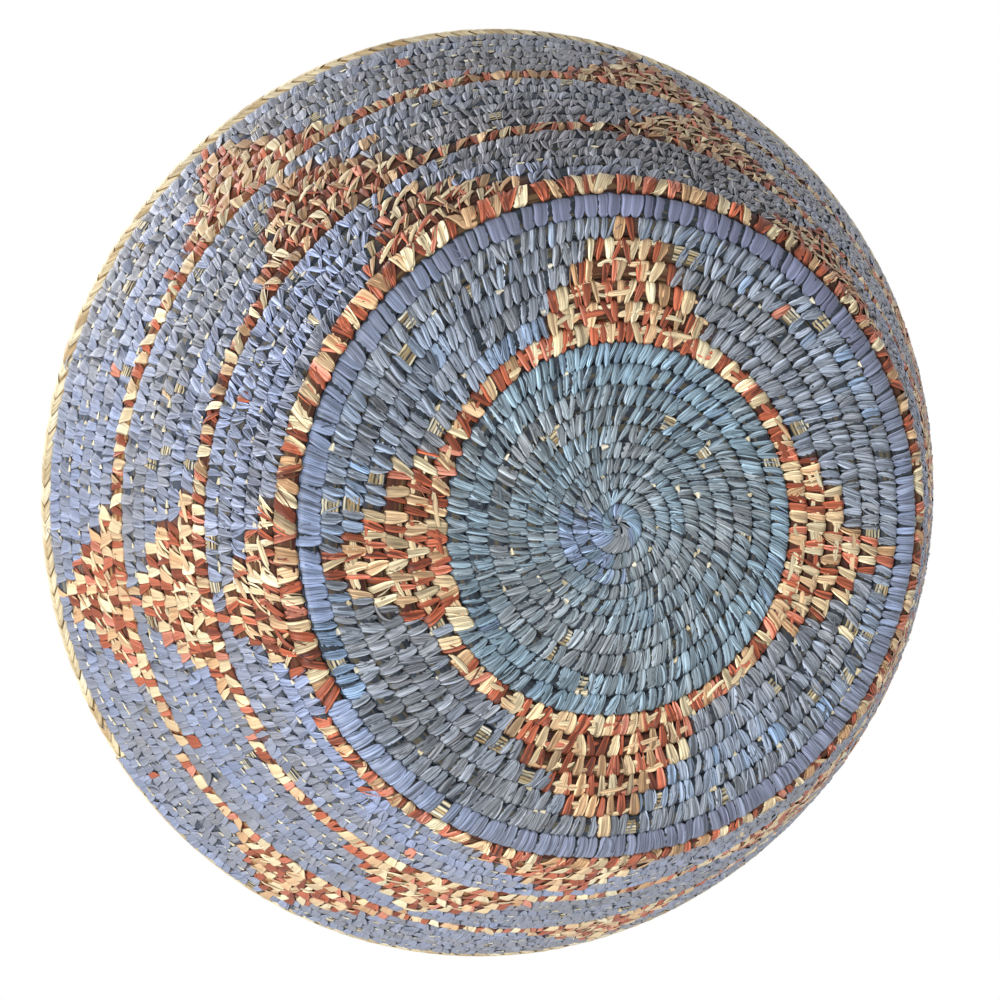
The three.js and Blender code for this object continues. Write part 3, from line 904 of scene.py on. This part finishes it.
# The bundle of stalks: a tube of rounded ribs, one rib a stalk
bundle = {
    "stalks": 12,
    "pointsPerStalk": 4,
    "stepsPerTurn": 96,
    "ribDepth": 0.2,
    "under": 0.22,  # mm that the strips lie above the stalks
    "pieceOfStalk": 55,  # mm between changes of colour along one stalk
    "girth": 20.0,  # mm of the fibres' map round the bundle
    "straw": ["#c9a56c", "#b8925c", "#dcbd8a", "#a07e4c", "#8a7048"],
    # the shaded and wall stalks are painted dark as the shade between the stitches, the shaded
    # ones darkest, and the carried ones take the carried strips' colours
    "shaded": ["#232a32", "#2b343e", "#333d49", "#3a414b", "#5c5646"],
    "wall": ["#4a5160", "#545c6c", "#5f6778", "#6a6f7c", "#8b8474"],
    "carried": ["#b98f5e", "#8a4028", "#9a5a34", "#5c2c1a", "#7a4426"],
}


def cornersOf(left, right, near, far):
    # a map's values at the four corners of every face
    return np.stack([np.stack(pair, -1) for pair in (
        (left, near), (right, near), (right, far), (left, far))], axis=2).reshape(-1, 2)


def bundleTube(node, start, end):
    steps = int(round((end - start) * bundle["stepsPerTurn"])) + 1
    around = bundle["stalks"] * bundle["pointsPerStalk"]
    turn = np.linspace(start, end, steps)[:, None]
    spot = np.arange(around)[None, :]
    stalk = spot / bundle["pointsPerStalk"]
    drift = 0.5 * np.sin(turn * 7.3) + 0.35 * np.sin(turn * 17.1 + 1)
    angle = 2 * np.pi * (stalk + drift) / bundle["stalks"]
    taper = taperAt(turn)
    rib = bundle["ribDepth"] * (np.abs(np.sin(np.pi * stalk)) - 1)
    wide = 0.5 * pitchAt(turn) * taper + 0.1 + rib
    deep = (halfThicknessAt(turn) - skin - bundle["under"]) * taper + rib
    along = wide * bulged(np.cos(angle), 2 / 2.6) - settledAt(turn)
    points = place(turn, along, deep * bulged(np.sin(angle), 2 / 2.6), 0)
    # colours change stalk by stalk; under the strips they are painted dark as the shade between
    # the stitches, and in the pattern they take the carried strips' colours
    table = rng.integers(0, 5, (bundle["stalks"], 600))
    gone = turn * ringAt(turn) * 0.5 + 13 * (spot % 7)
    patch = (gone / bundle["pieceOfStalk"]).astype(int) % 600
    which = table[spot // bundle["pointsPerStalk"] + 0 * patch, patch]
    straw, tone, wall, carried = (np.array([linear(colour) for colour in bundle[key]])[which]
                                  for key in ("straw", "shaded", "wall", "carried"))
    # painted shade: the darkest stalks where the gaps are deep and lighter ones where they are
    # not, and the pattern's stalks darkened where the gaps are deep
    ragged = raggedAt(turn)[..., None]
    if start >= spiral["wallTurn"]:
        tone = ragged * tone + (1 - ragged) * wall
    patterned = inPattern(turn + 0 * spot)[..., None]
    tone = np.where(patterned, carried * (1 - 0.8 * ragged), tone)
    if start >= spiral["rimTurn"]:
        tone = straw
    corner = np.arange(steps * around).reshape(steps, around)
    after = np.roll(corner, -1, axis=1)
    faces = np.stack([corner[:-1], after[:-1], after[1:], corner[1:]], axis=-1).reshape(-1, 4)
    # the maps are cut along the tube, and the one for baking into cells of eight steps
    row, column = np.indices((steps - 1, around))
    arc = ringAt(turn) * (turn - start) + 0 * spot
    perStep = bundle["girth"] / around
    strip = cornersOf(column * perStep, (column + 1) * perStep, arc[:-1], arc[1:])
    perCell = 8
    cells = math.ceil((steps - 1) / perCell)
    across = max(1, math.ceil(math.sqrt(cells * 2)))
    down = math.ceil(cells / across)
    cell, inCell = row // perCell, row % perCell
    u0, u1 = ((cell % across + 0.04 + 0.92 * (column + k) / around) / across for k in (0, 1))
    v0, v1 = ((cell // across + 0.04 + 0.92 * (inCell + k) / perCell) / down for k in (0, 1))
    piece = makePiece(f"{node}_grass", points.reshape(-1, 3), faces, strip,
                      cornersOf(u0, u1, v0, v1), tone.reshape(-1, 4), dryGrass)
    attach(piece, node)


for length in lengths:
    bundleTube(length["node"], length["start"], length["end"])
bundleTube("rim_coil", spiral["rimTurn"], spiral["lastTurn"])
print("laid the grass bundle")

# The swirl of strips over the start of the coil; "same" are sizes that all of them share
swirl = {"strips": 26, "width": 2.6, "reach": 3.0, "lean": 0.9, "strongLean": 2.4,
         "same": {"tipShare": 0.5, "shoulder": 0.7, "pointed": 0, "cut": 0, "endShare": 0.95,
                  "crown": 0.34, "fold": 0.12, "sag": -0.15, "overlap": 0, "dip": 0.5,
                  "split": 0.9, "outline": 0.19, "paintedEdgeHighlight": 0.3, "paintedShadeWarmth": 0}}


def swirlStrips(side):
    count = swirl["strips"]
    turn = (np.arange(count) + 0.5 + rng.normal(0, 0.12, count)) / count
    azimuth = azimuthAt(turn) % 360
    shapes = {
        "turn": turn,
        "tipAt": -(stationAt(turn) - swirl["reach"] * rng.uniform(0.5, 1.1, count)),
        "endAt": 0.53 * pitchAt(turn),
        "tipSide": -(swirl["lean"] + swirl["strongLean"] * facing(turn, 50))
        + rng.normal(0, 0.35, count),
        "endSide": 0.3 + rng.normal(0, 0.25, count),
        "bend": -0.6 + rng.normal(0, 0.2, count),
        "halfWidth": swirl["width"] * (0.34 + 0.2 * turn) * (1 + rng.normal(0, 0.12, count)),
        "lift": 0.3 + rng.normal(0, 0.12, count),
        "tilt": rng.normal(-0.1, 0.12, count),
        "light": np.clip(0.93 + rng.normal(0, 0.14, count), 0.6, 1.3),
        "hue": np.where((azimuth > 60) & (azimuth < 130), 0.1, 0.9) + rng.normal(0, 0.08, count),
        "tipRise": 1.5 + rng.normal(0, 0.15, count),
    }
    setAll(shapes, swirl["same"], count)
    return stripSheets(shapes, side, outsideAlong, outsideAcross)


for side in (-1, 1):
    addSheets("centre_start_coil", "swirl", swirlStrips(side), side, slateLeaf)

# The strip ends that cross over the middle: the start, middle and end of each, in millimetres
# from the coil's centre, then its width, hue and lightness. Later ones lie on earlier ones.
crossings = [
    ((-4.6, -2.2), (-2.4, -1.2), (-0.4, 0.4), 1.6, 0.9, 0.95),
    ((-4.4, 1.0), (-2.0, 1.0), (0.6, 0.6), 1.5, 0.95, 1.0),
    ((4.6, -3.6), (2.8, -2.9), (0.6, -1.8), 1.7, 0.92, 1.0),
    ((3.2, -5.2), (2.6, -3.8), (0.8, -2.2), 1.6, 1.0, 0.95),
    ((0.6, -6.6), (0.3, -4.4), (0.2, -1.6), 1.4, 0.4, 0.95),
    ((-0.4, 6.6), (0.4, 3.8), (0.6, 0.2), 1.3, 0.1, 0.75),
    ((-3.2, 5.0), (-0.6, 3.6), (0.5, 0.4), 1.2, 0.15, 0.9),
    ((5.6, 5.4), (4.6, 2.0), (0.0, -0.9), 1.3, 0.05, 0.9),
    ((7.2, 1.8), (4.6, -1.0), (0.2, -1.5), 1.3, 0.08, 1.0),
    ((4.6, 6.6), (3.6, 3.0), (0.8, -0.3), 1.2, 0.0, 1.15),
    ((2.4, 7.0), (2.9, 3.8), (1.4, 0.2), 1.3, 0.1, 1.25),
    ((0.9, 7.0), (2.2, 4.4), (1.8, 0.6), 1.1, 0.05, 1.0),
    ((-5.2, 2.4), (-2.6, 3.0), (0.9, 1.6), 1.0, 0.25, 1.2),
    ((-3.9, -1.4), (-3.0, 0.4), (-0.2, 1.3), 1.2, 0.0, 1.35),
    ((1.6, -6.1), (-0.2, -4.0), (-1.5, -1.6), 1.6, 0.0, 0.8),
    ((1.8, -5.0), (0.9, -3.0), (-0.2, -0.4), 1.3, 0.0, 1.5),
    ((-3.0, -1.9), (-1.8, -0.8), (-0.5, 0.2), 0.8, 0.0, 0.65),
]


def crossingStrips(side):
    count = len(crossings)
    ends = np.array([[*a, *b, *c] for a, b, c, *rest in crossings]).reshape(count, 3, 2)
    width, hue, light = np.array([rest for a, b, c, *rest in crossings]).T[:, :, None, None]
    if side > 0:
        ends[:, :, 1] *= -1
    u = np.linspace(0, 1, 9)[None, :, None, None]
    v = np.asarray(outsideAcross)[None, None, :]
    a, b, c = (ends[:, k][:, None, None, :] for k in range(3))
    knee = 2 * b - (a + c) / 2
    line = (1 - u) ** 2 * a + 2 * u * (1 - u) * knee + u ** 2 * c
    heading = 2 * (1 - u) * (knee - a) + 2 * u * (c - knee)
    heading = heading / np.linalg.norm(heading, axis=-1, keepdims=True)
    across = np.stack([-heading[..., 1], heading[..., 0]], axis=-1)
    u = u[..., 0]
    narrow = 0.35 + 0.65 * np.sin(np.pi * np.clip(u * 0.9 + 0.08, 0, 1)) ** 0.7
    halfWidth = width / 2 * narrow
    line = line + across * (v * halfWidth)[..., None]
    depth = 0.95 - 0.6 * np.arange(count)[:, None, None] / count
    depth = depth + 0.6 * np.abs(2 * u - 1) ** 3 + 0.28 * np.abs(v) ** 2
    depth = depth + 0.06 * rng.normal(0, 1, (count, 1, len(outsideAcross)))
    x = spiral["centre"][0] + line[..., 0]
    y = spiral["centre"][1] + line[..., 1]
    level = halfThicknessAt(0) * (1 + side) - side * depth
    points = np.stack([x, y, level], axis=-1) * mm
    # painted light: a painted highlight beside each edge, painted shade at the edges and at both
    # ends
    edge = np.interp(np.abs(v), [0, 0.5, 0.8, 1], [0.95, 0.95, 1.2, 0.3])
    shade = light * edge * (0.6 + 0.5 * np.sin(np.pi * u))
    return points, mapOf(v * halfWidth, u * 8), toneOf(shade, hue, 0.9)


for side in (-1, 1):
    addSheets("centre_start_coil", "crossing", crossingStrips(side), side, slateLeaf)

# The bent end of the bundle fills the middle, painted the dark slate of the shade under the
# crossing strips
around = np.linspace(0, 2 * np.pi, 25)[None, :, None]
outward = np.linspace(0, 3.6, 5)[None, None, :]
for side, sideName in ((-1, "outside"), (1, "inside")):
    x = spiral["centre"][0] + outward * np.cos(around) * side
    y = spiral["centre"][1] + outward * np.sin(around)
    level = halfThicknessAt(0) * (1 + side) - side * (1.5 + 0.06 * outward ** 2)
    points = np.stack(np.broadcast_arrays(x, y, level), axis=-1) * mm
    tone = np.zeros(x.shape + (4,)) + linear("#2b343e")
    piece = sheetPiece(f"centre_start_coil_heart_{sideName}", (points, points[..., :2] / mm, tone),
                       1, dryGrass)
    attach(piece, "centre_start_coil")
print("wound the start")

# The lacing over the rim row: strips that run steeply along the rim, up the outside from a
# ridge, over the top and down the inside past another, so that they nest as two rows of Vs.
# The angles are round the row, "round" is its radius and "ridgeGap" the way between the ridges,
# in mm, "slant" how steeply a strip runs along it and "share" how much of its room it fills.
lacing = {"spacing": 6.9, "from": -165, "to": 165, "outerRidge": -102, "innerRidge": 100,
          "round": 3.3, "ridgeGap": 11.6, "slant": 1.6, "share": 0.98}


def lacingStrips():
    rimRing = float(ringAt(spiral["rimTurn"] + 0.5))
    count = int(rimRing / lacing["spacing"])
    number = np.arange(-4, count + 4)
    start = spiral["rimTurn"] + (number + rng.normal(0, 0.05, len(number))) / count
    each = (len(start), 1, 1)
    u = np.linspace(0, 1, 31)[None, :, None]
    v = np.array([-1, -0.84, -0.4, 0.1, 0.5, 0.84, 1])[None, None, :]
    angle = np.radians(lacing["from"] + (lacing["to"] - lacing["from"]) * u)
    outer = lacing["round"] * (angle - math.radians(lacing["outerRidge"]))
    inner = lacing["round"] * (math.radians(lacing["innerRidge"]) - angle)
    half = lacing["spacing"] / 2 * lacing["share"] * (1 + rng.normal(0, 0.07, each))
    zigzag = np.where(outer < inner, np.abs(outer), lacing["ridgeGap"] - np.abs(inner))
    sideways = lacing["slant"] * (zigzag - lacing["ridgeGap"] / 2) + v * half
    sideways = sideways + 0.3 * rng.normal(0, 1, each) * u
    turn = start[:, None, None] + sideways / rimRing
    turn = np.clip(turn, spiral["rimTurn"] + 0.0005, spiral["lastTurn"] - 0.0005)
    taper = taperAt(turn)
    near = np.minimum(np.abs(outer), np.abs(inner))
    lift = 0.22 + 0.12 * np.exp(-(near / 1.2) ** 2) - 0.2 * np.abs(v) ** 3
    lift = lift + 0.05 * rng.normal(0, 1, (len(start), 1, 7)) - 0.1 * v
    wide = (pitchAt(turn) / 2 - 0.1) * taper + lift
    deep = (halfThicknessAt(turn) - skin) * taper + lift
    along = wide * bulged(np.cos(angle), 0.85) - settledAt(turn)
    points = place(turn, along, deep * bulged(np.sin(angle), 0.85), 0)
    light = np.clip(1 + rng.normal(0, 0.08, each), 0.75, 1.25)
    # painted shade along each strip's edges and in the creases at the ridges, and the strips
    # painted more tan where they are darker
    light = light * np.interp(np.abs(v), [0, 0.5, 0.84, 1], [1, 1.02, 0.98, 0.42])
    light = light * (1 + 0.08 * rng.normal(0, 1, (len(start), 1, 7)))
    light = light * (1 - 0.22 * np.exp(-(near / 0.5) ** 2))
    hue = np.clip(0.6 + rng.normal(0, 0.2, each) + 0.9 * (light - 1), 0, 1)
    return points, mapOf(0.45 * v * half, 2 * outer), toneOf(light, hue, 0.5)


piece = sheetPiece("rim_lacing_strips", lacingStrips(), 1, lacedLeaf)
attach(piece, "rim_lacing")
print("laced the rim")

# Stage, light and camera, in metres and watts
stageLook = {
    "floor": "#f4f2ee",
    "floorSize": 3.0,
    "floorDrop": 0.0006,
    "worldGrey": 0.56,
    "keySize": 1.3,
    "keyBelow": (-1.65, 0.55, -1.25),
    "belowPower": 33,
    "keyAbove": (-1.4, -1.2, 1.7),
    "abovePower": 42.9,
}

world = bpy.data.worlds.new("softStudio")
bpy.context.scene.world = world
world.use_nodes = True
tree = world.node_tree
tree.nodes.clear()
path = addNode(tree, "ShaderNodeLightPath", {}, {})
seen = addNode(tree, "ShaderNodeMath", {"operation": "MAXIMUM"},
               {0: path.outputs["Is Camera Ray"], 1: path.outputs["Is Glossy Ray"]})
seen = addNode(tree, "ShaderNodeMath", {"operation": "MAXIMUM"},
               {0: seen.outputs[0], 1: path.outputs["Is Transmission Ray"]})
soft = addNode(tree, "ShaderNodeBackground", {"Color": (1, 1, 1, 1),
               "Strength": stageLook["worldGrey"]}, {})
white = addNode(tree, "ShaderNodeBackground", {"Color": (1, 1, 1, 1), "Strength": 1.0}, {})
both = addNode(tree, "ShaderNodeMixShader", {}, {0: seen.outputs[0], 1: soft.outputs[0],
               2: white.outputs[0]})
addNode(tree, "ShaderNodeOutputWorld", {}, {0: both.outputs[0]})

# The floor shows from above and lets everything through from below, where the camera is
floorMaterial, tree = newMaterial("palePaperFloor")
geometry = addNode(tree, "ShaderNodeNewGeometry", {}, {})
paper = addNode(tree, "ShaderNodeBsdfDiffuse", {"Color": linear(stageLook["floor"])}, {})
clear = addNode(tree, "ShaderNodeBsdfTransparent", {}, {})
both = addNode(tree, "ShaderNodeMixShader", {}, {0: geometry.outputs["Backfacing"],
               1: paper.outputs[0], 2: clear.outputs[0]})
addNode(tree, "ShaderNodeOutputMaterial", {}, {0: both.outputs[0]})
bpy.ops.mesh.primitive_plane_add(size=stageLook["floorSize"],
                                 location=(0, 0, -stageLook["floorDrop"]))
floor = bpy.context.object
floor.name = "floor"
floor.data.materials.append(floorMaterial)
floor.visible_shadow = False
floor.visible_diffuse = False
floor.visible_glossy = False
floor.visible_transmission = False

# The camera looks up at the underside, with the photograph's right and up
camera = {
    "from": (-0.20614, -0.04901, -0.5591),
    "right": (0.9609, -0.0195, -0.2764),
    "forward": (0.2771, 0.0677, 0.9585),
    "lens": 61.2,
}
cameraData = bpy.data.cameras.new("camera")
cameraData.lens = camera["lens"]
cameraData.sensor_width = 36
cameraObject = bpy.data.objects.new("camera", cameraData)
bpy.context.scene.collection.objects.link(cameraObject)
back = -Vector(camera["forward"]).normalized()
right = Vector(camera["right"]).normalized()
up = back.cross(right).normalized()
right = up.cross(back).normalized()
turned = Matrix((right, up, back)).transposed().to_4x4()
cameraObject.matrix_world = Matrix.Translation(camera["from"]) @ turned
bpy.context.scene.camera = cameraObject


def softLamp(name, at, power):
    lamp = bpy.data.lights.new(name, "AREA")
    lamp.shape = "DISK"
    lamp.size = stageLook["keySize"]
    lamp.energy = power
    lampObject = bpy.data.objects.new(name, lamp)
    bpy.context.scene.collection.objects.link(lampObject)
    lampObject.location = at
    lampObject.rotation_euler = Vector(at).to_track_quat("Z", "Y").to_euler()


# One soft lamp low on the left for the underside, and one on the left for the bowl's inside
softLamp("keyBelow", stageLook["keyBelow"], stageLook["belowPower"])
softLamp("keyAbove", stageLook["keyAbove"], stageLook["abovePower"])
bpy.context.scene.view_settings.view_transform = "Standard"
print("stage set")
